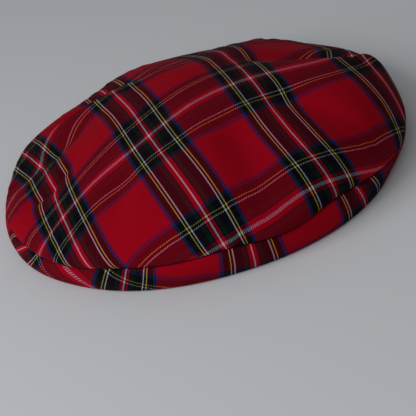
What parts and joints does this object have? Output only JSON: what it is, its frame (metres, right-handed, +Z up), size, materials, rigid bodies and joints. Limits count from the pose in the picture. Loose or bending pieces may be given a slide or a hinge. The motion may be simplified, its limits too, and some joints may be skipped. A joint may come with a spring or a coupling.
{
  "type": "tam o shanter",
  "caption": "Flat round soft tartan bonnet with a slack folded crown, an upright side band and an open underside for the head.",
  "frame": {"origin": "on the surface the hat rests on, under the middle of its rim", "axes": "+Z up, -Y towards the front of the hat, +X to the right as seen from the front"},
  "size_m": [0.2712, 0.2796, 0.0674],
  "materials": {
    "tartan_cloth": "red tartan, woven in a 2/2 twill, matt",
    "head_band_cloth": "plain dark cotton tape, matt"
  },
  "bodies": {
    "root": {"crown_top": "tartan_cloth", "side_band": "tartan_cloth", "under_ring": "tartan_cloth", "head_band": "head_band_cloth"}
  },
  "joints": []
}
